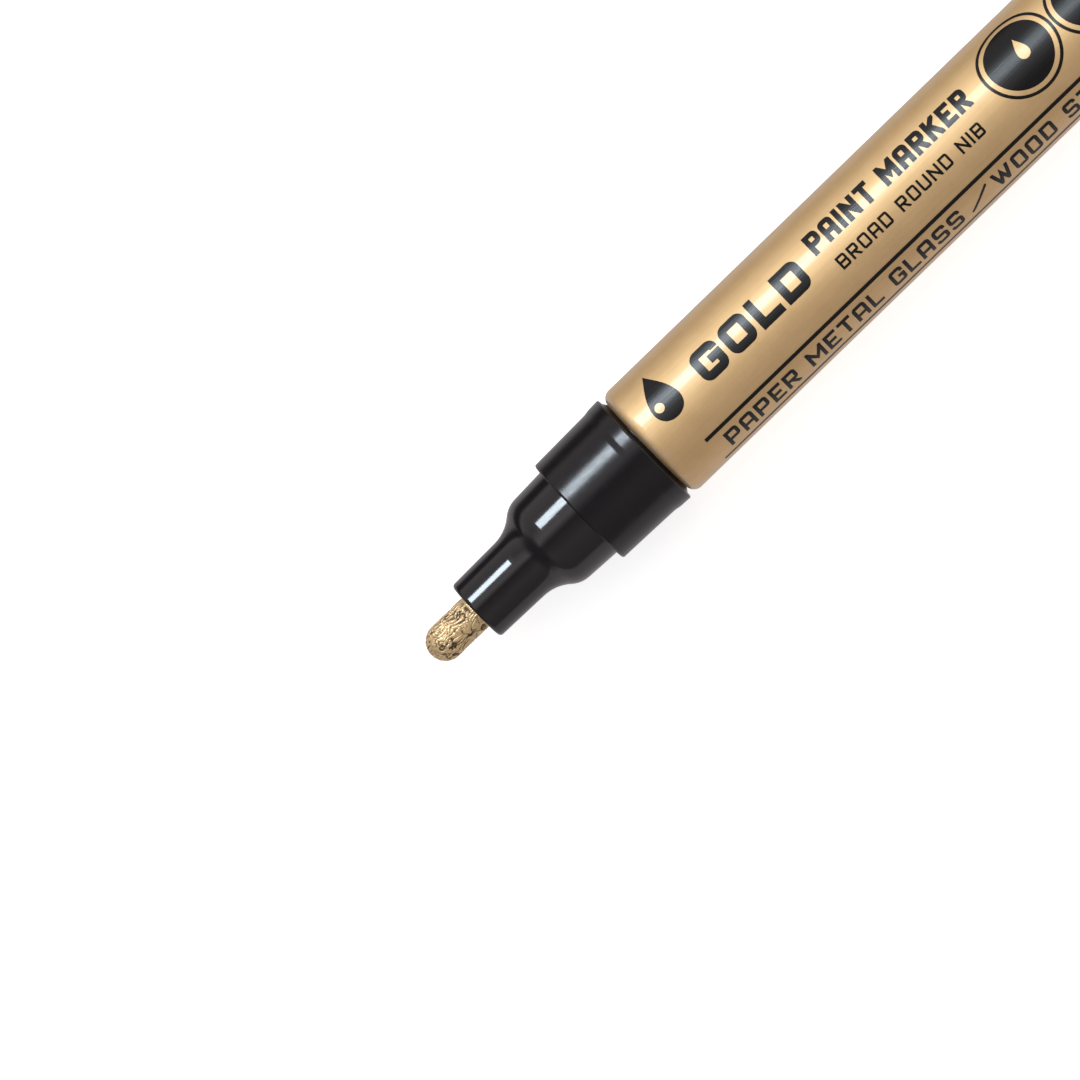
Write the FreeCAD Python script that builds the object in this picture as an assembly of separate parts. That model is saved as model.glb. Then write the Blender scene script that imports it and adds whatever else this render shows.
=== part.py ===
"""Paint marker with a bullet nib, a sprung valve and its cap posted on the tail.

Millimetres, +Z up. The marker lies along X: the nib points to -X, the posted cap to +X. The origin is
on the marker's axis, halfway along the barrel. Every round piece is turned about the X axis, and its
profile is written as (x, radius) corners, each with an optional rounding radius.
"""

import FreeCAD
import Part
import math
import os

V = FreeCAD.Vector
AXIS = V(1, 0, 0)

# ---------------------------------------------------------------- driving dimensions
barrel_radius = 7.5
barrel_wall = 0.45
barrel_length = 88.0
shoulder_round = 1.23       # outer corner of each curled-in barrel end
end_lean = math.radians(10) # slope of the curled-in ends
mouth_radius = 6.45         # hole left by the curled-in edge at both ends
nib_radius = 2.25
nib_exposed = 7.04          # nib showing in front of the holder
nib_length = 26.0
press_travel = 1.5          # how far the nib and the valve stem move back
slide_gap = 0.05            # radial clearance where one piece slides in another
fit_gap = 0.02              # clearance between pieces that are pressed together

# Stations along the axis, counted from the barrel's two ends.
front = -barrel_length / 2
back = barrel_length / 2
collar_back = front - 0.42
collar_ramp_back = front - 2.0
collar_ramp_front = front - 2.75
collar_front = front - 10.68
holder_front = front - 26.74
nib_tip = holder_front - nib_exposed
nib_back = nib_tip + nib_length
spigot_back = front + 7.0   # inner end of the collar's spigot
valve_wall_front = front - 2.8

# Radii of the nose, from the barrel forwards.
neck_radius = mouth_radius - fit_gap
collar_lip_radius = barrel_radius + 0.05    # stands a hair proud of the barrel
collar_ramp_radius = 7.36
collar_front_radius = 7.18
collar_ramp_rise = 0.13      # low ramp up to the collar's rear band
collar_ramp_round = 1.5      # bend at either end of the ramp
collar_seat_radius = 7.0     # foot of the cone between the collar's lip and the barrel
collar_bore = 5.45
step_back_radius = 6.23     # the tapered step that the cap closes on
step_front_radius = 6.0
nozzle_back_radius = 4.09
nozzle_front_radius = 3.94
nib_bore = nib_radius + slide_gap
chamber_radius = 4.2        # room behind the nozzle

# Valve, from the sealing wall backwards.
guide_radius = 1.6          # hole that the stem runs in
valve_wall = 1.5
seat_thickness = 1.0
head_radius = 3.0
head_thickness = 1.25
stem_radius = guide_radius - slide_gap
seat_front = valve_wall_front + valve_wall + fit_gap
head_front = seat_front + seat_thickness + slide_gap
head_back = head_front + head_thickness
spring_room = 4.3           # inner radius of the housing round the spring cage
cage_wall = 0.75
cage_floor = front + 8.2
spring_wire = 0.2           # radius of the wire
spring_coil = 2.3           # radius of the coil's centre line
spring_turns = 7
ball_radius = 3.0
ball_from_front = 30.0

# Tail and cap.
tail_spigot_in = 8.0        # length of tail plug inside the barrel
tail_post = 5.8             # length of the post that carries the cap
post_base = back + 0.4
post_back_radius = 6.15
post_front_radius = 6.02
cap_mouth = post_base + 0.05
cap_length = 34.0
cap_end = cap_mouth + cap_length
cap_mouth_radius = 7.2
cap_end_radius = 6.75
cap_bore = post_back_radius + 0.1
cap_inner_radius = 5.6
liner_mouth = cap_mouth + 9.3
liner_end = cap_mouth + 26.6
cap_inner_end = cap_mouth + 26.9
disc_radius = 4.6
disc_thickness = 1.2
disc_seat = cap_end - disc_thickness
core_radius = disc_radius - 1.0     # hollow behind the disc

# Pocket clip, drawn standing on the cap and then turned down to the table.
clip_root_front = cap_mouth + 29.8
clip_root_back = clip_root_front + 1.4
clip_root_bottom = 4.3
clip_top = 9.5
clip_tip_top = 9.05
clip_tip = cap_mouth + 5.4
clip_thickness = 1.25
clip_root_half_width = 2.5
clip_tip_half_width = 1.9
clip_edge_round = 0.3
clip_clearance = 0.05
table_gap = 0.05            # left under the clip's edge, so that the barrel touches first

# O-rings: bottom radius of their grooves, and the section that fills the room up to the barrel.
ring_seat = neck_radius - 0.55
ring_section = (barrel_radius - barrel_wall - ring_seat) / 2 - fit_gap
ring_groove = 1.2           # width of a groove
ring_centre = 4.2           # from the barrel's end to the middle of the groove

# Bead that snaps in behind the barrel's curled edge.
bead_radius = neck_radius + 0.3
bead_offset = barrel_wall + 0.15
bead_length = 1.5
bead_slope = 0.3            # length of its steep side, next to the curled edge


# ---------------------------------------------------------------- helpers
def rounded(corners):
    """Closed wire through (x, radius[, rounding]) corners, each rounding a tangent arc."""
    points = [V(c[0], c[1], 0) for c in corners]
    rounding = [c[2] if len(c) > 2 else 0.0 for c in corners]
    stops = []
    for i, corner in enumerate(points):
        before, after = points[i - 1] - corner, points[(i + 1) % len(points)] - corner
        before.normalize()
        after.normalize()
        if not rounding[i]:
            stops.append((corner, None, corner))
            continue
        half = before.getAngle(after) / 2
        reach = rounding[i] / math.tan(half)
        middle = before + after
        middle.normalize()
        depth = rounding[i] / math.sin(half) - rounding[i]
        stops.append((corner + before * reach, corner + middle * depth, corner + after * reach))
    edges = []
    for i, (start, bulge, end) in enumerate(stops):
        if bulge is not None:
            edges.append(Part.Arc(start, bulge, end).toShape())
        following = stops[(i + 1) % len(stops)][0]
        if (following - end).Length > 1e-6:
            edges.append(Part.LineSegment(end, following).toShape())
    return Part.Wire(edges)


def turned(*corners):
    """Solid of revolution about the marker's axis from a closed profile."""
    return Part.Face(rounded(corners)).revolve(V(0, 0, 0), AXIS, 360)


def around(shape, count, start=0.0):
    """Copies of shape, spaced evenly about the axis."""
    copies = []
    for i in range(count):
        copy = shape.copy()
        copy.rotate(V(0, 0, 0), AXIS, start + 360.0 * i / count)
        copies.append(copy)
    return copies


def slab(x_from, x_to, half_width, z_from, z_to):
    """Box centred on Y = 0, used for grooves, windows and flutes."""
    return Part.makeBox(x_to - x_from, 2 * half_width, z_to - z_from, V(x_from, -half_width, z_from))


def o_ring(x):
    """Rubber ring lying in its groove at x, all but touching the barrel's inside."""
    return Part.makeTorus(ring_seat + fit_gap + ring_section, ring_section, V(x, 0, 0), AXIS)


# ---------------------------------------------------------------- nose
def nib():
    """Pressed-fibre bullet nib: round tip, straight shank, tapered back end."""
    flat = 0.05             # tiny flat spot on the very tip
    return turned(
        (nib_tip, 0),
        (nib_tip, nib_radius, nib_radius - flat),
        (nib_back - 1.5, nib_radius, 0.3),
        (nib_back, 1.5, 0.2),
        (nib_back, 0),
    )


def nib_holder():
    """Nozzle, swept shoulder and cap step, with a spigot that goes into the collar."""
    sweep = math.radians(40)            # slope between the nozzle and the step
    sweep_start = front - 18.27
    sweep_end = sweep_start + (step_front_radius - nozzle_back_radius) / math.tan(sweep)
    spigot_end = front - 3.0
    spigot_radius = collar_bore - fit_gap
    body = turned(
        (holder_front, nib_bore, 0.12),
        (holder_front, nozzle_front_radius, 0.45),
        (sweep_start, nozzle_back_radius, 4.9),
        (sweep_end, step_front_radius, 3.25),
        (collar_front, step_back_radius),
        (collar_front, spigot_radius),
        (spigot_end, spigot_radius, 0.3),
        (spigot_end, chamber_radius),
        (sweep_end - 0.6, chamber_radius, 0.6),
        (sweep_end - 2.0, nib_bore),
    )
    lip = 2.2               # plain bore kept behind the front face
    groove_bottom = 2.95
    groove = slab(holder_front + lip, sweep_end, 0.45, nib_bore - 0.5, groove_bottom)
    return body.cut(around(groove, 6))


def front_collar():
    """Outer ring of the nose, with the grooved spigot that is pressed into the barrel."""
    bead_front = front + bead_offset
    groove_front = front + ring_centre - ring_groove / 2
    groove_back = groove_front + ring_groove
    return turned(
        (collar_front, collar_bore, 0.15),
        (collar_front, collar_front_radius, 0.28),
        (collar_ramp_front, collar_ramp_radius, collar_ramp_round),
        (collar_ramp_back, collar_ramp_radius + collar_ramp_rise, collar_ramp_round),
        (collar_back, collar_lip_radius, 0.2),
        (collar_back, collar_seat_radius),
        (front - fit_gap, neck_radius),
        (bead_front, neck_radius),
        (bead_front + bead_slope, bead_radius, 0.1),
        (bead_front + bead_length / 2, bead_radius, 0.1),
        (bead_front + bead_length, neck_radius),
        (groove_front, neck_radius),
        (groove_front, ring_seat),
        (groove_back, ring_seat),
        (groove_back, neck_radius),
        (spigot_back, neck_radius, 0.4),
        (spigot_back, collar_bore),
    )


# ---------------------------------------------------------------- barrel and tail
def barrel():
    """Drawn aluminium tube, both ends curled in round the plastic fittings."""
    inner = barrel_radius - barrel_wall
    inner_round = 0.7
    outer_lean = (barrel_radius - mouth_radius) * math.tan(end_lean)
    inner_lean = barrel_wall + (inner - mouth_radius) * math.tan(end_lean)
    return turned(
        (front, mouth_radius),
        (front + outer_lean, barrel_radius, shoulder_round),
        (back - outer_lean, barrel_radius, shoulder_round),
        (back, mouth_radius),
        (back - barrel_wall, mouth_radius),
        (back - inner_lean, inner, inner_round),
        (front + inner_lean, inner, inner_round),
        (front + barrel_wall, mouth_radius),
    )


def tail_plug():
    """Stopper of the barrel's back end, and the post that carries the cap in use."""
    inner_end = back - tail_spigot_in
    bead_back = back - bead_offset
    groove_back = back - ring_centre + ring_groove / 2
    groove_front = groove_back - ring_groove
    post_end = post_base + tail_post
    end_wall = 1.3
    hollow = 4.9
    return turned(
        (inner_end, hollow),
        (inner_end, neck_radius, 0.4),
        (groove_front, neck_radius),
        (groove_front, ring_seat),
        (groove_back, ring_seat),
        (groove_back, neck_radius),
        (bead_back - bead_length, neck_radius),
        (bead_back - bead_length / 2, bead_radius, 0.1),
        (bead_back - bead_slope, bead_radius, 0.1),
        (bead_back, neck_radius),
        (post_base, neck_radius, 0.1),
        (post_base, post_back_radius),
        (post_end, post_front_radius, 0.8),
        (post_end, 0),
        (post_end - end_wall, 0),
        (post_end - end_wall, hollow, 0.5),
    )


def mixing_ball():
    """Steel ball that stirs the paint, lying on the bottom of the barrel."""
    rest_height = barrel_radius - barrel_wall - ball_radius - slide_gap
    return Part.makeSphere(ball_radius, V(front + ball_from_front, 0, -rest_height))


# ---------------------------------------------------------------- valve
def valve_housing():
    """Cup behind the nib: guide tube, sealing wall, spring room and a clamped flange."""
    outer = collar_bore - fit_gap
    guide_outer = guide_radius + 1.1
    guide_front = front - 6.0
    flange_front = spigot_back + fit_gap
    flange_radius = neck_radius - 0.15
    wall_back = valve_wall_front + valve_wall
    return turned(
        (guide_front, guide_radius),
        (guide_front, guide_outer, 0.3),
        (valve_wall_front, guide_outer),
        (valve_wall_front, outer, 0.3),
        (flange_front, outer),
        (flange_front, flange_radius),
        (cage_floor, flange_radius, 0.2),
        (cage_floor, spring_room),
        (wall_back, spring_room, 0.4),
        (wall_back, guide_radius),
    )


def valve_seat_ring():
    """Flat rubber ring on the sealing wall, which the stem's head closes on."""
    seat_back = seat_front + seat_thickness
    inner = guide_radius + 0.1
    outer = head_radius + 0.7
    return turned(
        (seat_front, inner),
        (seat_front, outer, 0.15),
        (seat_back, outer, 0.15),
        (seat_back, inner, 0.25),
    )


def valve_stem():
    """Fluted rod from the nib to the valve's head, with a pilot inside the spring."""
    stem_front = nib_back + slide_gap
    pilot_end = head_back + 4.4
    pilot_radius = spring_coil - spring_wire - 0.35
    body = turned(
        (stem_front, 0),
        (stem_front, stem_radius, 0.25),
        (head_front, stem_radius),
        (head_front, head_radius, 0.3),
        (head_back, head_radius, 0.2),
        (head_back, pilot_radius, 0.2),
        (pilot_end, pilot_radius - 0.35, 0.5),
        (pilot_end, 0),
    )
    flute = slab(stem_front + 0.6, head_front - 0.3, 0.42, 0.75, stem_radius + 1)
    return body.cut(around(flute, 4, 45))


def valve_spring():
    """Steel coil that pushes the stem's head onto its seat, as a chain of flat half turns."""
    start = head_back + spring_wire + fit_gap
    end = cage_floor - spring_wire - fit_gap
    step = (end - start) / (2 * spring_turns)
    reach = math.hypot(spring_coil, step / 2)
    half_turns = []
    for i in range(2 * spring_turns):
        side = 1 if i % 2 == 0 else -1
        begin = V(start + i * step, 0, side * spring_coil)
        crest = V(start + (i + 0.5) * step, side * reach, 0)
        finish = V(start + (i + 1) * step, 0, -side * spring_coil)
        half_turns.append(Part.Arc(begin, crest, finish).toShape())
    section = Part.Wire(Part.makeCircle(spring_wire, V(start, 0, spring_coil), V(0, 1, 0)))
    return Part.Wire(half_turns).makePipeShell([section], True, False)


def spring_cage():
    """Slotted cup that holds the spring in and lets paint through to the valve."""
    outer = spring_room - fit_gap
    inner = outer - cage_wall
    cage_front = front + 3.2
    flange_front = cage_floor + fit_gap
    flange_radius = neck_radius - 0.6
    floor_back = cage_floor + 1.0
    centre_hole = 0.9
    body = turned(
        (cage_front, inner),
        (cage_front, outer, 0.2),
        (flange_front, outer),
        (flange_front, flange_radius),
        (floor_back, flange_radius, 0.3),
        (floor_back, centre_hole),
        (cage_floor, centre_hole),
        (cage_floor, inner),
    )
    side_slot = slab(cage_front + 1.2, cage_floor - 0.8, 0.9, inner - 0.6, outer + 0.5)
    inlet = Part.makeCylinder(0.42, 3, V(cage_floor - 1, 0, inner - 0.48), AXIS)
    return body.cut(around(side_slot, 4) + around(inlet, 6))


# ---------------------------------------------------------------- cap
def cap_shell():
    """Tapered cap, stepped bore, cored end and the slot that the clip is pushed into."""
    end_wall = 1.4
    bore_depth = 6.8
    body = turned(
        (cap_mouth, cap_bore, 0.3),
        (cap_mouth, cap_mouth_radius, 0.28),
        (cap_end, cap_end_radius, 1.0),
        (cap_end, disc_radius, 0.12),
        (disc_seat, disc_radius),
        (disc_seat, core_radius),
        (cap_inner_end + end_wall, core_radius),
        (cap_inner_end + end_wall, 0),
        (cap_inner_end, 0),
        (cap_inner_end, cap_inner_radius, 0.4),
        (cap_mouth + bore_depth + 0.6, cap_inner_radius),
        (cap_mouth + bore_depth, cap_bore),
    )
    slot = slab(
        clip_root_front - clip_clearance,
        clip_root_back + clip_clearance,
        clip_root_half_width + clip_clearance,
        clip_root_bottom - clip_clearance,
        barrel_radius + 1,
    )
    return body.cut(laid_down(slot))


def cap_liner():
    """Soft inner cup that seals on the nozzle and keeps the nib from drying."""
    outer = cap_inner_radius - fit_gap
    mouth_room = nozzle_back_radius + 0.09
    nozzle_room = mouth_room - 0.15
    bead_room = mouth_room - 0.25
    nib_room = 3.1
    floor = liner_end - 1.2
    step = cap_mouth + 16.9
    bead = liner_mouth + 3.4
    return turned(
        (liner_mouth, mouth_room, 0.3),
        (liner_mouth, outer, 0.2),
        (liner_end, outer, 0.4),
        (liner_end, 0),
        (floor, 0),
        (floor, nib_room, 0.5),
        (step, nib_room),
        (step, nozzle_room),
        (bead + 0.5, nozzle_room),
        (bead, bead_room),
        (bead - 0.5, mouth_room),
    )


def cap_end_disc():
    """Coloured disc let into the cap's end, with a hollow rim that snaps into the core."""
    face = cap_end - 0.15
    edge = disc_radius - 0.05
    rim = core_radius - fit_gap
    rim_end = disc_seat - 1.2
    rim_inner = rim - 0.8
    return turned(
        (face, 0),
        (face, edge, 0.3),
        (disc_seat + fit_gap, edge),
        (disc_seat + fit_gap, rim),
        (rim_end, rim, 0.2),
        (rim_end, rim_inner),
        (disc_seat + 0.1, rim_inner),
        (disc_seat + 0.1, 0),
    )


def laid_down(shape):
    """Turns a shape drawn on the cap's top side down to where the clip's edge meets the table."""
    edge_radius = math.hypot(clip_top, clip_root_half_width)
    edge_angle = math.atan2(clip_root_half_width, clip_top)
    from_below = math.acos((barrel_radius - table_gap) / edge_radius) + edge_angle
    turned_shape = shape.copy()
    turned_shape.rotate(V(0, 0, 0), AXIS, 180 - math.degrees(from_below))
    return turned_shape


def pocket_clip():
    """Clip with a root tab in the cap's slot, a long tongue and a bead that grips cloth."""
    tip_bottom = clip_tip_top - clip_thickness
    bead_bottom = cap_mouth_radius + 0.18
    outline = rounded([
        (clip_root_front, clip_root_bottom),
        (clip_root_back, clip_root_bottom),
        (clip_root_back, clip_top, 1.3),
        (clip_tip, clip_tip_top, 0.5),
        (clip_tip + 0.2, tip_bottom + 0.1, 0.3),
        (clip_tip + 1.8, bead_bottom, 0.7),
        (clip_tip + 4.0, tip_bottom, 1.2),
        (clip_root_front, clip_top - clip_thickness, 0.5),
    ])
    side = Part.Face(outline)
    side.rotate(V(0, 0, 0), AXIS, 90)
    side.translate(V(0, clip_root_half_width, 0))
    blank = side.extrude(V(0, -2 * clip_root_half_width, 0))
    plan = Part.Face(rounded([
        (clip_tip, -clip_tip_half_width, 1.3),
        (clip_root_front, -clip_root_half_width),
        (clip_root_back, -clip_root_half_width),
        (clip_root_back, clip_root_half_width),
        (clip_root_front, clip_root_half_width),
        (clip_tip, clip_tip_half_width, 1.3),
    ]))
    clip = blank.common(plan.extrude(V(0, 0, clip_top + 1)))
    long_edges = [
        e for e in clip.Edges
        if e.BoundBox.ZMin > tip_bottom + 0.5 and e.BoundBox.XLength > 5
    ]
    return laid_down(clip.makeFillet(clip_edge_round, long_edges))


# ---------------------------------------------------------------- export
PIECES = {
    "nib": nib,
    "nib_holder": nib_holder,
    "front_collar": front_collar,
    "collar_seal": lambda: o_ring(front + ring_centre),
    "barrel": barrel,
    "tail_plug": tail_plug,
    "tail_seal": lambda: o_ring(back - ring_centre),
    "mixing_ball": mixing_ball,
    "valve_housing": valve_housing,
    "valve_seat_ring": valve_seat_ring,
    "valve_stem": valve_stem,
    "valve_spring": valve_spring,
    "spring_cage": spring_cage,
    "cap_shell": cap_shell,
    "cap_liner": cap_liner,
    "cap_end_disc": cap_end_disc,
    "pocket_clip": pocket_clip,
}


def main():
    os.makedirs("parts", exist_ok=True)
    for name, make in PIECES.items():
        shape = make()
        solid = shape if shape.ShapeType == "Solid" else shape.Solids[0]
        if not solid.isValid() or len(shape.Solids) > 1:
            raise ValueError(f"{name} isn't one valid solid")
        solid.exportStep(f"parts/{name}.step")
        box = solid.BoundBox
        print(f"{name:16} {solid.Volume:9.2f} mm3  x {box.XMin:7.2f} .. {box.XMax:7.2f}")


main()
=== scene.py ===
"""Looks of the paint marker: materials, the crinkled felt nib, the print on the barrel and the studio."""
import math

import bmesh
import bpy
from mathutils import Matrix, Vector, geometry, noise

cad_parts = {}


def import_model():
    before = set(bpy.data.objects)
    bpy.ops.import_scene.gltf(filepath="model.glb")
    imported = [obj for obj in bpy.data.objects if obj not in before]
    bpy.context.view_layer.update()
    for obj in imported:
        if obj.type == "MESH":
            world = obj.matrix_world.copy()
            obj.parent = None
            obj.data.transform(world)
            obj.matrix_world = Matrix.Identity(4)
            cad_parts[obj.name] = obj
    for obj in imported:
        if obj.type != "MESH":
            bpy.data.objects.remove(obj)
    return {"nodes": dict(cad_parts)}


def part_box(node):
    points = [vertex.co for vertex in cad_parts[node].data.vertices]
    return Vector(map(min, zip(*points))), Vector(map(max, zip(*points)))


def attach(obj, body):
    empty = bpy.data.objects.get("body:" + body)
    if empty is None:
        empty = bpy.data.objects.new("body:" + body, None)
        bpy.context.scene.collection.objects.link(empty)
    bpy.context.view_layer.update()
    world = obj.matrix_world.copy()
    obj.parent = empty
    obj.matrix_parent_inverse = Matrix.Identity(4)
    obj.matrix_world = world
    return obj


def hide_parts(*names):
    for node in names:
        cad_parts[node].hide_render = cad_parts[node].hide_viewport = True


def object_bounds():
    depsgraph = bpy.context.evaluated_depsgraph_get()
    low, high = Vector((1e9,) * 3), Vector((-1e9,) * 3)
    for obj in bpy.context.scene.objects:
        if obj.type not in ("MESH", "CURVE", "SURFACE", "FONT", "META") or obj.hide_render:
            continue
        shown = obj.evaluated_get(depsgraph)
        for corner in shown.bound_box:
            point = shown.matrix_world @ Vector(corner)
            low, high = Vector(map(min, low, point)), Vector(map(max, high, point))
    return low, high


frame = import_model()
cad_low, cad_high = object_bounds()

MM = 0.001
TURN = 2 * math.pi

# ---------------------------------------------------------------- places, from the frame
barrel_low, barrel_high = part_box("barrel")
barrel_front = barrel_low.x
barrel_radius = (barrel_high.y - barrel_low.y) / 2
nib_low, nib_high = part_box("nib")
nib_radius = (nib_high.y - nib_low.y) / 2
holder_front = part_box("nib_holder")[0].x
floor_height = cad_low.z


# ---------------------------------------------------------------- node helpers
class Graph:
    """A material's node tree, with short calls for the nodes that these materials use."""

    def __init__(self, name):
        self.material = bpy.data.materials.new(name)
        self.material.use_nodes = True
        self.tree = self.material.node_tree
        self.shader = self.tree.nodes["Principled BSDF"]
        self.place = self.tree.nodes.new("ShaderNodeTexCoord").outputs["Object"]

    def node(self, kind, **settings):
        made = self.tree.nodes.new(kind)
        for key, value in settings.items():
            setattr(made, key, value)
        return made

    def link(self, source, target):
        self.tree.links.new(source, target)

    def stretched(self, x, y, z):
        """Object coordinates in millimetres, times a factor per axis."""
        mapping = self.node("ShaderNodeMapping")
        mapping.inputs["Scale"].default_value = (x / MM, y / MM, z / MM)
        self.link(self.place, mapping.inputs["Vector"])
        return mapping.outputs["Vector"]

    def noise(self, per_mm, detail=3.0, roughness=0.55, stretch=(1, 1, 1)):
        """Noise with that many lumps per millimetre, fewer along an axis with a stretch below 1."""
        made = self.node("ShaderNodeTexNoise")
        made.inputs["Scale"].default_value = per_mm
        made.inputs["Detail"].default_value = detail
        made.inputs["Roughness"].default_value = roughness
        self.link(self.stretched(*stretch), made.inputs["Vector"])
        return made.outputs["Fac"]

    def ramp(self, value, *stops):
        """Colour ramp of (position, colour or grey) stops."""
        made = self.node("ShaderNodeValToRGB")
        band = made.color_ramp
        while len(band.elements) < len(stops):
            band.elements.new(1.0)
        for element, (at, colour) in zip(band.elements, stops):
            element.position = at
            grey = isinstance(colour, (int, float))
            element.color = (colour,) * 3 + (1,) if grey else tuple(colour) + (1,)
        self.link(value, made.inputs["Fac"])
        return made.outputs["Color"]

    def mix(self, factor, first, second):
        made = self.node("ShaderNodeMix", data_type="RGBA")
        for socket, value in zip((made.inputs[0], made.inputs[6], made.inputs[7]), (factor, first, second)):
            if isinstance(value, bpy.types.NodeSocket):
                self.link(value, socket)
            elif isinstance(value, (int, float)):
                socket.default_value = value
            else:
                socket.default_value = tuple(value) + (1,)
        return made.outputs[2]

    def math(self, operation, first, second):
        made = self.node("ShaderNodeMath", operation=operation)
        for socket, value in zip(made.inputs, (first, second)):
            if isinstance(value, bpy.types.NodeSocket):
                self.link(value, socket)
            else:
                socket.default_value = value
        return made.outputs[0]

    def bump(self, height, depth_mm, under=None):
        made = self.node("ShaderNodeBump")
        made.inputs["Distance"].default_value = depth_mm * MM
        self.link(height, made.inputs["Height"])
        if under is not None:
            self.link(under, made.inputs["Normal"])
        return made.outputs["Normal"]

    def finish(self, colour, roughness, normal, **fixed):
        self.link(colour, self.shader.inputs["Base Color"])
        self.link(roughness, self.shader.inputs["Roughness"])
        self.link(normal, self.shader.inputs["Normal"])
        for name, value in fixed.items():
            self.shader.inputs[name.replace("_", " ")].default_value = value
        return self.material


# ---------------------------------------------------------------- materials
def gold_barrel():
    """Matt gold coating under clear lacquer: fine grain, faint streaks along X, rubbed ends."""
    g = Graph("gold_barrel")
    cloud = g.noise(0.35, 3, 0.6)
    grain = g.noise(5.5, 2, 0.6)
    streak = g.noise(2.2, 3, 0.6, (0.035, 1, 1))
    base = g.ramp(cloud, (0.3, (0.885, 0.610, 0.300)), (0.7, (0.945, 0.665, 0.340)))
    base = g.mix(g.ramp(streak, (0.35, 0.0), (0.75, 0.35)), base, (0.79, 0.54, 0.265))
    base = g.mix(g.ramp(grain, (0.4, 0.0), (0.8, 0.25)), base, (0.98, 0.76, 0.42))
    rub = g.math("MULTIPLY", end_rub(g), g.ramp(g.noise(1.6, 4, 0.7), (0.5, 0.0), (0.62, 1.0)))
    base = g.mix(rub, base, (0.80, 0.76, 0.70))
    rough = g.ramp(streak, (0.3, 0.60), (0.7, 0.66))
    rough = g.mix(0.5, rough, g.ramp(grain, (0.3, 0.58), (0.7, 0.70)))
    normal = g.bump(streak, 0.002)
    normal = g.bump(grain, 0.005, under=normal)
    return g.finish(base, rough, normal, Metallic=1.0, Coat_Weight=1.0, Coat_Roughness=0.24)


def end_rub(g):
    """0 along the barrel, rising to 1 over its two curled ends."""
    apart = g.node("ShaderNodeSeparateXYZ")
    g.link(g.place, apart.inputs["Vector"])
    reach = barrel_high.x - 1.4 * MM
    far = g.math("ABSOLUTE", apart.outputs["X"], 0.0)
    return g.math("MULTIPLY", g.math("MAXIMUM", g.math("SUBTRACT", far, reach), 0.0), 0.7 / MM)


def black_plastic(name, smooth, matt, peel_mm, ior):
    """Gloss black moulding: roughness between smooth and matt, orange peel and fine handling marks."""
    g = Graph(name)
    cloud = g.noise(0.8, 3, 0.6)
    scuff = g.noise(3.0, 4, 0.65, (0.25, 1, 1))
    base = g.ramp(cloud, (0.3, (0.0034, 0.0018, 0.0030)), (0.7, (0.0056, 0.0034, 0.0050)))
    base = g.mix(g.ramp(scuff, (0.62, 0.0), (0.8, 0.4)), base, (0.012, 0.011, 0.012))
    rough = g.ramp(scuff, (0.35, smooth), (0.75, matt))
    normal = g.bump(cloud, peel_mm)
    normal = g.bump(scuff, 0.0008, under=normal)
    return g.finish(base, rough, normal, IOR=ior)


def print_ink():
    """Screen-printed black ink: thin, a little patchy, glossier than the metal under it."""
    g = Graph("print_ink")
    grain = g.noise(7.0, 2, 0.6)
    streak = g.noise(2.2, 3, 0.6, (0.035, 1, 1))
    base = g.ramp(grain, (0.35, (0.0012, 0.0007, 0.0004)), (0.75, (0.0034, 0.0022, 0.0016)))
    rough = g.ramp(streak, (0.3, 0.25), (0.7, 0.33))
    normal = g.bump(streak, 0.004)
    normal = g.bump(grain, 0.004, under=normal)
    return g.finish(base, rough, normal, IOR=1.45)


def felt():
    """Pressed fibre soaked in gold paint: bright ridges, painted shade darkening the crevices to dark
    brown, and fine fibres.
    """
    g = Graph("nib_felt")
    depth = g.node("ShaderNodeAttribute", attribute_name="crevice").outputs["Fac"]
    fibre = g.noise(9.0, 3, 0.65, (0.4, 1, 1))
    stain = g.noise(0.9, 3, 0.6)
    gold = g.ramp(stain, (0.3, (0.86, 0.56, 0.27)), (0.7, (0.96, 0.69, 0.34)))
    gold = g.mix(g.ramp(fibre, (0.35, 0.0), (0.75, 0.5)), gold, (1.0, 0.83, 0.50))
    # Painted shade: the colour darkens to near-black brown as the crevice depth grows, where shade falls in
    # the creases.
    painted_crevice_shade = g.ramp(depth, (0.34, 0.0), (0.56, 0.6), (0.74, 0.97), (1.0, 1.0))
    base = g.mix(painted_crevice_shade, gold, (0.085, 0.036, 0.014))
    rough = g.ramp(depth, (0.1, 0.34), (0.7, 0.7))
    normal = g.bump(fibre, 0.03)
    metal = g.ramp(depth, (0.1, 0.8), (0.7, 0.2))
    g.link(metal, g.shader.inputs["Metallic"])
    return g.finish(base, rough, normal, Coat_Weight=0.6, Coat_Roughness=0.2)


def rubber():
    g = Graph("seal_rubber")
    grain = g.noise(6.0, 3)
    base = g.ramp(grain, (0.3, 0.012), (0.7, 0.024))
    return g.finish(base, g.ramp(grain, (0.3, 0.5), (0.7, 0.7)), g.bump(grain, 0.006))


def pale_plastic(name, dark, light, glow):
    """Undyed moulded plastic, slightly translucent, with paint stains in its low spots."""
    g = Graph(name)
    cloud = g.noise(0.7, 3)
    grain = g.noise(5.0, 3)
    stain = g.ramp(g.noise(1.1, 4, 0.7), (0.58, 0.0), (0.68, 0.6))
    base = g.mix(stain, g.ramp(cloud, (0.3, dark), (0.7, light)), (0.62, 0.45, 0.24))
    rough = g.ramp(grain, (0.3, 0.34), (0.7, 0.46))
    return g.finish(base, rough, g.bump(grain, 0.004), Subsurface_Weight=glow, Subsurface_Scale=0.5 * MM)


def steel(name, smooth, matt, stretch):
    g = Graph(name)
    line = g.noise(6.0, 3, 0.6, stretch)
    base = g.ramp(line, (0.3, (0.50, 0.50, 0.51)), (0.7, (0.66, 0.66, 0.67)))
    rough = g.ramp(line, (0.3, smooth), (0.7, matt))
    return g.finish(base, rough, g.bump(line, 0.002), Metallic=1.0)


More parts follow.
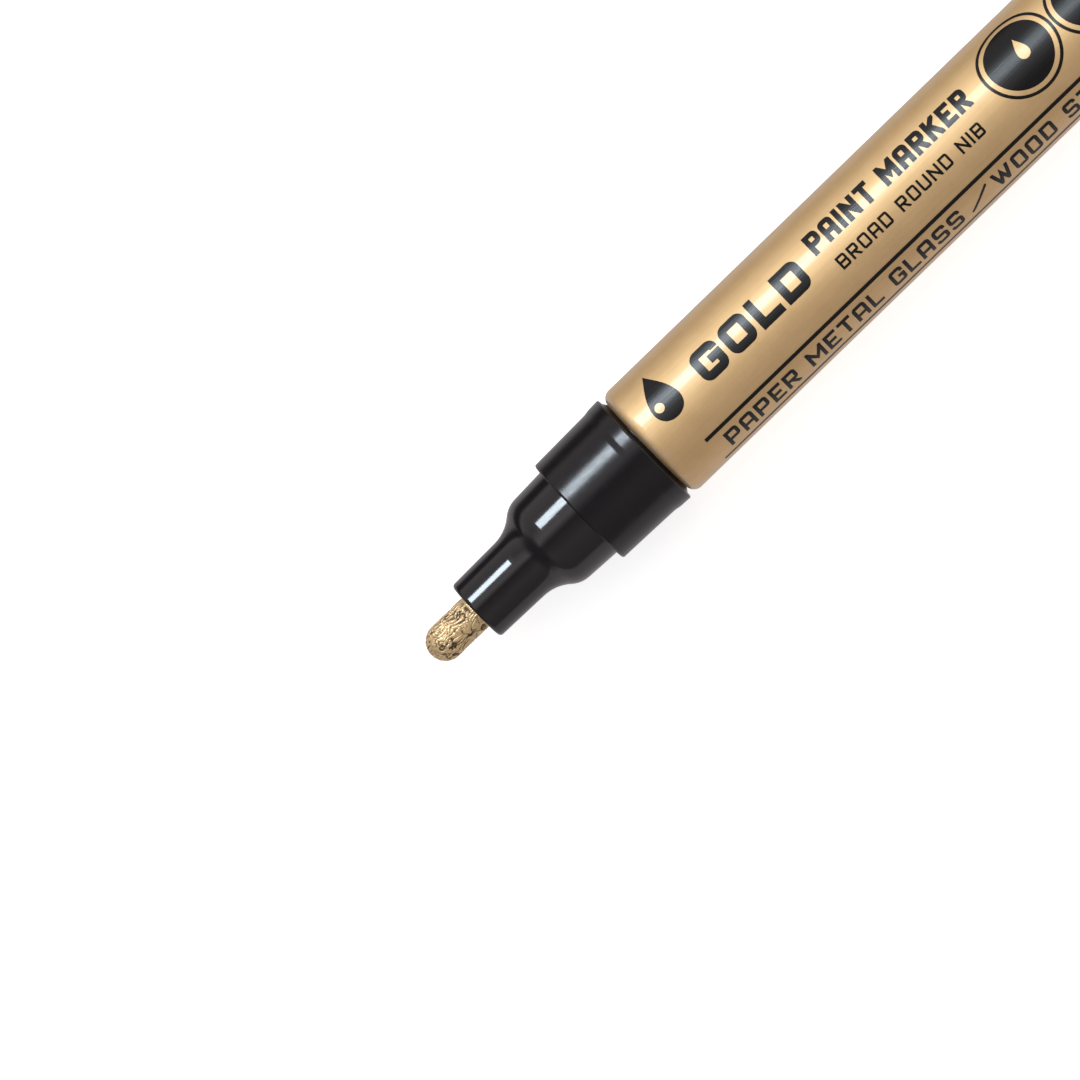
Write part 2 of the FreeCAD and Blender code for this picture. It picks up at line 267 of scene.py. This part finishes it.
def gold_disc():
    """Gold-pigmented plastic of the cap's end: flakes in a gloss moulding, with circular tool marks."""
    g = Graph("gold_disc")
    off_axis = g.node("ShaderNodeVectorMath", operation="LENGTH")
    g.link(g.stretched(0, 1, 1), off_axis.inputs[0])
    ripple = 26.0
    rings = g.math("SINE", g.math("MULTIPLY", off_axis.outputs["Value"], ripple), 0.0)
    flake = g.noise(11.0, 2, 0.6)
    base = g.ramp(flake, (0.35, (0.62, 0.43, 0.22)), (0.65, (0.86, 0.65, 0.38)))
    rough = g.ramp(flake, (0.3, 0.28), (0.7, 0.4))
    normal = g.bump(flake, 0.004, under=g.bump(rings, 0.002))
    return g.finish(base, rough, normal, Metallic=0.85)


def dress(node, made):
    """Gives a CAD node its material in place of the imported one."""
    mesh = frame["nodes"][node].data
    mesh.materials.clear()
    mesh.materials.append(made)


def dress_nodes():
    nozzle_black = black_plastic("nozzle_black", 0.10, 0.16, 0.002, 1.63)
    collar_black = black_plastic("collar_black", 0.19, 0.27, 0.005, 1.5)
    natural = pale_plastic("natural_plastic", (0.66, 0.66, 0.62), (0.78, 0.78, 0.75), 0.15)
    soft = pale_plastic("soft_plastic", (0.58, 0.60, 0.58), (0.70, 0.71, 0.69), 0.3)
    seal = rubber()
    looks = {
        "barrel": gold_barrel(),
        "nib_holder": nozzle_black,
        "front_collar": collar_black,
        "tail_plug": collar_black,
        "cap_shell": collar_black,
        "pocket_clip": nozzle_black,
        "cap_liner": soft,
        "cap_end_disc": gold_disc(),
        "collar_seal": seal,
        "tail_seal": seal,
        "valve_seat_ring": seal,
        "valve_housing": natural,
        "valve_stem": natural,
        "spring_cage": natural,
        "valve_spring": steel("spring_steel", 0.22, 0.34, (1, 0.3, 0.3)),
        "mixing_ball": steel("ball_steel", 0.05, 0.12, (1, 1, 1)),
    }
    for node, made in looks.items():
        dress(node, made)


# ---------------------------------------------------------------- nib
def crevice_depth(place):
    """How deep the felt's surface lies at a place in millimetres, from 0 on a ridge to 1."""
    flow = place + noise.noise_vector(place * 0.8) * 0.55
    worm = abs(noise.noise(Vector((flow.x * 0.9, flow.y * 2.4, flow.z * 2.4))))
    twig = abs(noise.noise(Vector((flow.x * 2.0 + 9, flow.y * 4.6, flow.z * 4.6))))
    crowd = min(max(noise.noise(place * 0.55 + Vector((4, 2, 7))) * 1.4 + 0.95, 0.6), 1)
    crease = 0.85 * max(1 - worm / 0.28, 0) + 0.55 * max(1 - twig / 0.28, 0)
    return min(crease * crowd, 1)


def nib_outline():
    """(x, radius) along the nib in metres: dense where it shows, sparse inside the holder."""
    tip_radius = 0.05 * MM
    dome = nib_radius - tip_radius
    dome_steps, shown_steps, hidden_steps = 80, 150, 16
    points = []
    for i in range(1, dome_steps + 1):
        angle = math.pi / 2 * i / dome_steps
        points.append((nib_low.x + dome * (1 - math.cos(angle)), tip_radius + dome * math.sin(angle)))
    into_holder = 0.4 * MM
    shown_end = holder_front + into_holder
    dome_end = points[-1][0]
    for i in range(1, shown_steps + 1):
        points.append((dome_end + (shown_end - nib_low.x - dome) * i / shown_steps, nib_radius))
    taper = back_radius = 1.5 * MM
    for i in range(1, hidden_steps + 1):
        points.append((shown_end + (nib_high.x - taper - shown_end) * i / hidden_steps, nib_radius))
    points.append((nib_high.x, back_radius))
    return points


def felt_nib():
    """The nib with its crinkles as real relief, cut into the CAD shape and never out of it."""
    around, relief = 300, 0.15 * MM
    nib_seed = 11
    noise.seed_set(nib_seed)
    made = bmesh.new()
    depths = []
    rows = []
    tip = made.verts.new((nib_low.x, 0, 0))
    depths.append(0.2)
    for x, radius in nib_outline():
        row = []
        for k in range(around):
            angle = TURN * k / around
            out = Vector((0, math.cos(angle), math.sin(angle)))
            place = Vector((x, 0, 0)) + out * radius
            fade = min(max((holder_front + 0.1 * MM - x) / (0.5 * MM), 0), 1)
            depth = crevice_depth(place / MM) * fade
            dome_lean = Vector((min((x - nib_low.x) / nib_radius, 1) - 1, 0, 0))
            inward = -(out + dome_lean).normalized()
            row.append(made.verts.new(place + inward * relief * depth))
            depths.append(depth)
        rows.append(row)
    back = made.verts.new((nib_high.x, 0, 0))
    depths.append(0)
    for k in range(around):
        made.faces.new((tip, rows[0][k], rows[0][(k + 1) % around]))
        made.faces.new((back, rows[-1][(k + 1) % around], rows[-1][k]))
    for near, far in zip(rows, rows[1:]):
        for k in range(around):
            made.faces.new((near[k], far[k], far[(k + 1) % around], near[(k + 1) % around]))
    bmesh.ops.recalc_face_normals(made, faces=made.faces)
    mesh = bpy.data.meshes.new("felt_nib")
    made.to_mesh(mesh)
    made.free()
    mesh.attributes.new("crevice", "FLOAT", "POINT").data.foreach_set("value", depths)
    for face in mesh.polygons:
        face.use_smooth = True
    mesh.materials.append(felt())
    piece = bpy.data.objects.new("felt_nib", mesh)
    bpy.context.scene.collection.objects.link(piece)
    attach(piece, "nib")
    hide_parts("nib")


# ---------------------------------------------------------------- print on the barrel
# Flat print is drawn in millimetres: x from the barrel's front, y as arc length from the top line
# towards +Y. It is then wrapped round the barrel.
INK_THICKNESS = 0.012
INK_LIFT = 0.004
WRAP_STEP = 0.35

# Block letters as pen paths on a grid that is 6 high, with each letter's width. A corner with a
# third value is rounded. Ends that lie outside the letter's box are trimmed to it.
LETTERS = {
    "A": (4, [[(0, -1), (0, 6, 1), (4, 6, 1), (4, -1)], [(0, 2.3), (4, 2.3)]]),
    "B": (4, [[(0, -1), (0, 6), (4, 6, 1), (4, 3, 1), (0, 3)], [(0, 3), (4, 3, 1), (4, 0, 1), (-1, 0)]]),
    "C": (4, [[(4, 4.5), (4, 6, 1), (0, 6, 1), (0, 0, 1), (4, 0, 1), (4, 1.5)]]),
    "D": (4, [[(0, -1), (0, 6), (4, 6, 1), (4, 0, 1), (-1, 0)]]),
    "E": (3.6, [[(5, 6), (0, 6), (0, 0), (5, 0)], [(0, 3), (3.4, 3)]]),
    "G": (4, [[(4, 4.5), (4, 6, 1), (0, 6, 1), (0, 0, 1), (4, 0, 1), (4, 3), (2.1, 3)]]),
    "H": (4, [[(0, -1), (0, 7)], [(4, -1), (4, 7)], [(0, 3), (4, 3)]]),
    "I": (0, [[(0, -1), (0, 7)]]),
    "K": (4, [[(0, -1), (0, 7)], [(5.2, 7.1), (0, 2.6)], [(1.5, 3.9), (4.8, -1.3)]]),
    "L": (3.4, [[(0, 7), (0, 0), (5, 0)]]),
    "M": (5.4, [[(0, -1), (0, 6), (2.7, 2), (5.4, 6), (5.4, -1)]]),
    "N": (4.2, [[(0, -1), (0, 6), (4.2, 0), (4.2, 7)]]),
    "O": (4, [[(0, 3), (0, 6, 1), (4, 6, 1), (4, 0, 1), (0, 0, 1), (0, 3)]]),
    "P": (4, [[(0, -1), (0, 6), (4, 6, 1), (4, 2.6, 1), (0, 2.6)]]),
    "R": (4, [[(0, -1), (0, 6), (4, 6, 1), (4, 2.8, 1), (0, 2.8)], [(1.7, 2.8), (4.6, -1.2)]]),
    "S": (4, [[(4, 4.8), (4, 6, 1), (0, 6, 1), (0, 3, 1), (4, 3, 1), (4, 0, 1), (0, 0, 1), (0, 1.2)]]),
    "T": (4, [[(-1, 6), (5, 6)], [(2, 6), (2, -1)]]),
    "U": (4, [[(0, 7), (0, 0, 1), (4, 0, 1), (4, 7)]]),
    "W": (6, [[(-0.2, 7), (1.5, 0), (3, 4.6), (4.5, 0), (6.2, 7)]]),
    "/": (3, [[(-0.6, -1.2), (3.6, 7.2)]]),
}


def pen_path(corners, rounding):
    """Points of a pen path; its rounded corners are all right angles."""
    steps = 5
    points = []
    for i, corner in enumerate(corners):
        here = Vector(corner[:2])
        if len(corner) == 2:
            points.append(here)
            continue
        back = (Vector(corners[i - 1][:2]) - here).normalized() * rounding
        on = (Vector(corners[i + 1][:2]) - here).normalized() * rounding
        for k in range(steps + 1):
            angle = math.pi / 2 * k / steps
            points.append(here + back * (1 - math.sin(angle)) + on * (1 - math.cos(angle)))
    return points


def pen_stroke(points, half):
    """Four-sided pieces of a stroke with mitred corners."""
    sides = []
    for i, here in enumerate(points):
        into = (here - points[max(i - 1, 0)]).normalized()
        out = (points[min(i + 1, len(points) - 1)] - here).normalized()
        along = (into + out).normalized()
        reach = half / max(along.dot(out), along.dot(into))
        across = Vector((-along.y, along.x)) * reach
        sides.append((here + across, here - across))
    return [[near[1], far[1], far[0], near[0]] for near, far in zip(sides, sides[1:])]


def trimmed(polygon, low, high):
    """Convex polygon cut to the box between two corners."""
    for axis in range(2):
        for sign, limit in ((1, low[axis]), (-1, high[axis])):
            kept = []
            for here, following in zip(polygon, polygon[1:] + polygon[:1]):
                inside = sign * (here[axis] - limit)
                inside_next = sign * (following[axis] - limit)
                if inside >= 0:
                    kept.append(here)
                if inside * inside_next < 0:
                    kept.append(here.lerp(following, inside / (inside - inside_next)))
            polygon = kept
    return polygon


def word(words, box, pen, gap):
    """Flat mesh of words in block letters that fill a box of (x_from, x_to, y_from, y_to)."""
    x_from, x_to, y_from, y_to = box
    half = pen / 2
    space = 2.6
    widths = [space if letter == " " else LETTERS[letter][0] for letter in words]
    inked = sum(letter != " " for letter in words)
    unit = (x_to - x_from - inked * pen - (len(words) - 1) * gap) / sum(widths)
    rise = (y_to - y_from - pen) / 6
    pieces = []
    x = x_from
    for letter, width in zip(words, widths):
        if letter == " ":
            x += width * unit + gap
            continue
        low = Vector((x, y_from))
        high = Vector((x + width * unit + pen, y_to))
        for path in LETTERS[letter][1]:
            corners = [
                (x + half + corner[0] * unit, y_from + half + corner[1] * rise) + tuple(corner[2:])
                for corner in path
            ]
            for piece in pen_stroke(pen_path(corners, half * 1.1), half):
                piece = trimmed(piece, low, high)
                if len(piece) > 2:
                    pieces.append(piece)
        x += width * unit + pen + gap
    return united(pieces)


def united(pieces):
    """Flat mesh that covers what any of the polygons covers, with no overlap."""
    corners = [corner for piece in pieces for corner in piece]
    faces = []
    start = 0
    for piece in pieces:
        faces.append(list(range(start, start + len(piece))))
        start += len(piece)
    found = geometry.delaunay_2d_cdt(corners, [], faces, 0, 1e-4)
    covered = [face for face, sources in zip(found[2], found[5]) if sources]
    mesh = bpy.data.meshes.new("words")
    mesh.from_pydata([(x, y, 0) for x, y in found[0]], [], covered)
    return mesh


def filled(outlines):
    """Flat mesh of closed outlines, where an outline inside another is a hole."""
    curve = bpy.data.curves.new("outlines", "CURVE")
    curve.dimensions = "2D"
    curve.fill_mode = "BOTH"
    for outline in outlines:
        spline = curve.splines.new("POLY")
        spline.points.add(len(outline) - 1)
        for point, (x, y) in zip(spline.points, outline):
            point.co = (x, y, 0, 1)
        spline.use_cyclic_u = True
    source = bpy.data.objects.new("outlines", curve)
    mesh = bpy.data.meshes.new_from_object(source)
    bpy.data.objects.remove(source)
    return mesh


def ring(x, y, radius, steps=96):
    return [
        (x + radius * math.cos(TURN * i / steps), y + radius * math.sin(TURN * i / steps))
        for i in range(steps)
    ]


def strip(x_from, x_to, y_from, y_to):
    return [(x_from, y_from), (x_to, y_from), (x_to, y_to), (x_from, y_to)]


def drop(x, y, radius, height, steps=72):
    """Paint drop with its point towards +Y."""
    outline = []
    for i in range(steps):
        angle = TURN * i / steps
        narrowing = math.sin(angle / 2) ** 1.6
        outline.append((x + radius * 1.22 * math.sin(angle) * narrowing, y + height / 2 * math.cos(angle)))
    return outline


def printed(name, mesh):
    """Wraps a flat mesh round the barrel as a thin solid layer of ink."""
    flat = bmesh.new()
    flat.from_mesh(mesh)
    bmesh.ops.remove_doubles(flat, verts=flat.verts, dist=1e-4)
    loose = [v for v in flat.verts if not v.link_faces]
    bmesh.ops.delete(flat, geom=loose, context="VERTS")
    low = min(v.co.y for v in flat.verts)
    high = max(v.co.y for v in flat.verts)
    for i in range(1, int((high - low) / WRAP_STEP) + 1):
        everything = flat.verts[:] + flat.edges[:] + flat.faces[:]
        level = (0, low + i * WRAP_STEP, 0)
        bmesh.ops.bisect_plane(flat, geom=everything, plane_co=level, plane_no=(0, 1, 0))
    raised = bmesh.ops.extrude_face_region(flat, geom=flat.faces[:])
    for item in raised["geom"]:
        if isinstance(item, bmesh.types.BMVert):
            item.co.z += INK_THICKNESS
    bmesh.ops.recalc_face_normals(flat, faces=flat.faces)
    for vertex in flat.verts:
        angle = vertex.co.y * MM / barrel_radius
        radius = barrel_radius + (INK_LIFT + vertex.co.z) * MM
        x = barrel_front + vertex.co.x * MM
        vertex.co = (x, radius * math.sin(angle), radius * math.cos(angle))
    flat.to_mesh(mesh)
    flat.free()
    mesh.name = name
    mesh.materials.clear()
    mesh.materials.append(INK)
    piece = bpy.data.objects.new(name, mesh)
    bpy.context.scene.collection.objects.link(piece)
    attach(piece, "marker")


def print_barrel():
    """Generic print: a paint drop, plain words for the kind of marker, two rules and two discs."""
    printed("print_drop", filled([drop(5.0, 3.4, 2.3, 6.8), ring(4.1, 2.1, 0.6, 32)]))
    printed("print_colour", word("GOLD", (9.9, 26.3, 0.1, 4.1), 1.05, 0.62))
    printed("print_kind", word("PAINT MARKER", (28.4, 52.9, 2.1, 4.95), 0.66, 0.34))
    printed("print_nib_size", word("BROAD ROUND NIB", (29.6, 51.7, -1.2, 0.45), 0.29, 0.36))
    rule_end = 84.0
    printed("print_upper_rule", filled([strip(5.2, rule_end, -4.65, -4.15)]))
    printed("print_lower_rule", filled([strip(5.4, rule_end, -9.5, -9.1)]))
    printed("print_uses_1", word("PAPER METAL GLASS", (7.0, 43.3, -8.1, -5.5), 0.46, 0.42))
    printed("print_slash", word("/", (44.4, 47.6, -8.1, -5.7), 0.34, 0))
    printed("print_uses_2", word("WOOD STONE CLOTH", (48.4, 82.6, -8.1, -5.5), 0.46, 0.42))
    for i in range(2):
        x, y = 60.2 + 10.4 * i, 2.7
        rings = [ring(x, y, 5.1), ring(x, y, 4.72), ring(x, y, 4.15)]
        printed(f"print_disc_{i}", filled(rings + [drop(x + 0.6, y + 0.4, 0.9, 3.0)]))


# ---------------------------------------------------------------- studio
def floor():
    """Pale floor, kept out of reflections so that the gloss shows the studio and not its own table."""
    size = 6.0
    mesh = bpy.data.meshes.new("floor")
    corners = [(-size, -size, 0), (size, -size, 0), (size, size, 0), (-size, size, 0)]
    mesh.from_pydata(corners, [], [(0, 1, 2, 3)])
    g = Graph("floor")
    speck = g.noise(0.02, 2)
    white = g.ramp(speck, (0.3, 0.80), (0.7, 0.82))
    g.shader.inputs["Emission Strength"].default_value = 0.75
    g.shader.inputs["Emission Color"].default_value = (1, 1, 1, 1)
    mesh.materials.append(g.finish(white, g.ramp(speck, (0.0, 0.8), (1.0, 0.9)), g.bump(speck, 0.01)))
    made = bpy.data.objects.new("floor", mesh)
    made.location.z = floor_height - 0.05 * MM
    made.visible_glossy = False
    bpy.context.scene.collection.objects.link(made)


def area_light(name, direction, distance, width, length, power, colour, aim):
    """Rectangular light that looks at aim from a direction, its length along X."""
    light = bpy.data.lights.new(name, "AREA")
    light.shape = "RECTANGLE"
    light.size = length
    light.size_y = width
    light.energy = power
    light.color = colour
    made = bpy.data.objects.new(name, light)
    toward = direction.normalized()
    side = Vector((1, 0, 0))
    up = toward.cross(side)
    made.matrix_world = Matrix((side, up, toward)).transposed().to_4x4()
    made.location = aim + toward * distance
    made.visible_camera = False
    bpy.context.scene.collection.objects.link(made)


def lean(degrees):
    """Direction that far from straight up, towards +Y."""
    angle = math.radians(degrees)
    return Vector((0, math.sin(angle), math.cos(angle)))


def lights():
    """One soft key light, at the place that the middle of the marker mirrors to the camera."""
    shown = Vector((barrel_front - 32 * MM, 0, 0))
    area_light("key", lean(40), 0.9, 0.27, 0.22, 3.5, (0.80, 0.91, 1.0), shown)


# The tent of pale panels round the marker, as (degrees from straight up towards +Y, radiance): a broad
# panel behind the key light from 15 to 90, a dark gap beyond it, and plain cloth below and opposite.
PANELS = [
    (-180, 0.5), (-92, 0.6), (-86, 0.25), (-35, 0.4), (0, 0.2), (15, 1.0), (45, 0.5), (90, 0.7),
    (100, 0.1), (118, 0.1), (132, 0.6), (180, 0.5),
]
TENT_ENDS = {"front": 0.15, "tail": 0.9}


def world():
    """Panels that run along X, closed by plain ends; white where the camera sees past the floor."""
    made = bpy.data.worlds.new("studio")
    made.use_nodes = True
    tree = made.node_tree
    tree.nodes.clear()

    def node(kind, **settings):
        new = tree.nodes.new(kind)
        for key, value in settings.items():
            setattr(new, key, value)
        return new

    direction = node("ShaderNodeTexCoord").outputs["Generated"]
    apart = node("ShaderNodeSeparateXYZ")
    tree.links.new(direction, apart.inputs["Vector"])
    angle = node("ShaderNodeMath", operation="ARCTAN2")
    tree.links.new(apart.outputs["Y"], angle.inputs[0])
    tree.links.new(apart.outputs["Z"], angle.inputs[1])
    turn = node("ShaderNodeMath", operation="MULTIPLY_ADD")
    turn.inputs[1].default_value = 1 / TURN
    turn.inputs[2].default_value = 0.5
    tree.links.new(angle.outputs[0], turn.inputs[0])
    panels = node("ShaderNodeValToRGB")
    band = panels.color_ramp
    while len(band.elements) < len(PANELS):
        band.elements.new(1.0)
    for element, (degrees, radiance) in zip(band.elements, PANELS):
        element.position = degrees / 360 + 0.5
        element.color = (radiance, radiance * 0.95, radiance * 0.96, 1)
    tree.links.new(turn.outputs[0], panels.inputs["Fac"])
    ends = node("ShaderNodeMapRange", interpolation_type="SMOOTHSTEP")
    ends.inputs["From Min"].default_value = 0.75
    ends.inputs["From Max"].default_value = 0.97
    sideways = node("ShaderNodeMath", operation="ABSOLUTE")
    tree.links.new(apart.outputs["X"], sideways.inputs[0])
    tree.links.new(sideways.outputs[0], ends.inputs["Value"])
    tailward = node("ShaderNodeMath", operation="GREATER_THAN")
    tailward.inputs[1].default_value = 0
    tree.links.new(apart.outputs["X"], tailward.inputs[0])
    end = node("ShaderNodeMix", data_type="RGBA")
    end.inputs[6].default_value = (TENT_ENDS["front"],) * 3 + (1,)
    end.inputs[7].default_value = (TENT_ENDS["tail"],) * 3 + (1,)
    tree.links.new(tailward.outputs[0], end.inputs[0])
    closed = node("ShaderNodeMix", data_type="RGBA")
    tree.links.new(ends.outputs["Result"], closed.inputs[0])
    tree.links.new(panels.outputs["Color"], closed.inputs[6])
    tree.links.new(end.outputs[2], closed.inputs[7])
    lit = node("ShaderNodeBackground")
    tree.links.new(closed.outputs[2], lit.inputs["Color"])
    seen = node("ShaderNodeBackground")
    seen.inputs["Color"].default_value = (1, 1, 1, 1)
    path = node("ShaderNodeLightPath")
    choose = node("ShaderNodeMixShader")
    tree.links.new(path.outputs["Is Camera Ray"], choose.inputs[0])
    tree.links.new(lit.outputs[0], choose.inputs[1])
    tree.links.new(seen.outputs[0], choose.inputs[2])
    tree.links.new(choose.outputs[0], node("ShaderNodeOutputWorld").inputs["Surface"])
    bpy.context.scene.world = made


def camera():
    """Long lens almost straight above, turned so that the marker runs up to the right."""
    shown_width = 121.25 * MM
    distance = 1.2
    turn = math.radians(44.045)
    tilt = math.radians(2.2)
    aim = Vector((barrel_front - 16.0 * MM, 0.775 * MM, 0))
    right = Vector((math.cos(turn), -math.sin(turn), 0))
    back = Vector((math.sin(tilt), 0, math.cos(tilt)))
    up = back.cross(right).normalized()
    right = up.cross(back)
    data = bpy.data.cameras.new("camera")
    data.sensor_width = 36
    data.lens = data.sensor_width / 2 / (shown_width / 2 / distance)
    made = bpy.data.objects.new("camera", data)
    made.matrix_world = Matrix((right, up, back)).transposed().to_4x4()
    made.location = aim + back * distance
    bpy.context.scene.collection.objects.link(made)
    bpy.context.scene.camera = made
    bpy.context.scene.view_settings.view_transform = "Standard"


INK = print_ink()
dress_nodes()
felt_nib()
print_barrel()
floor()
lights()
world()
camera()
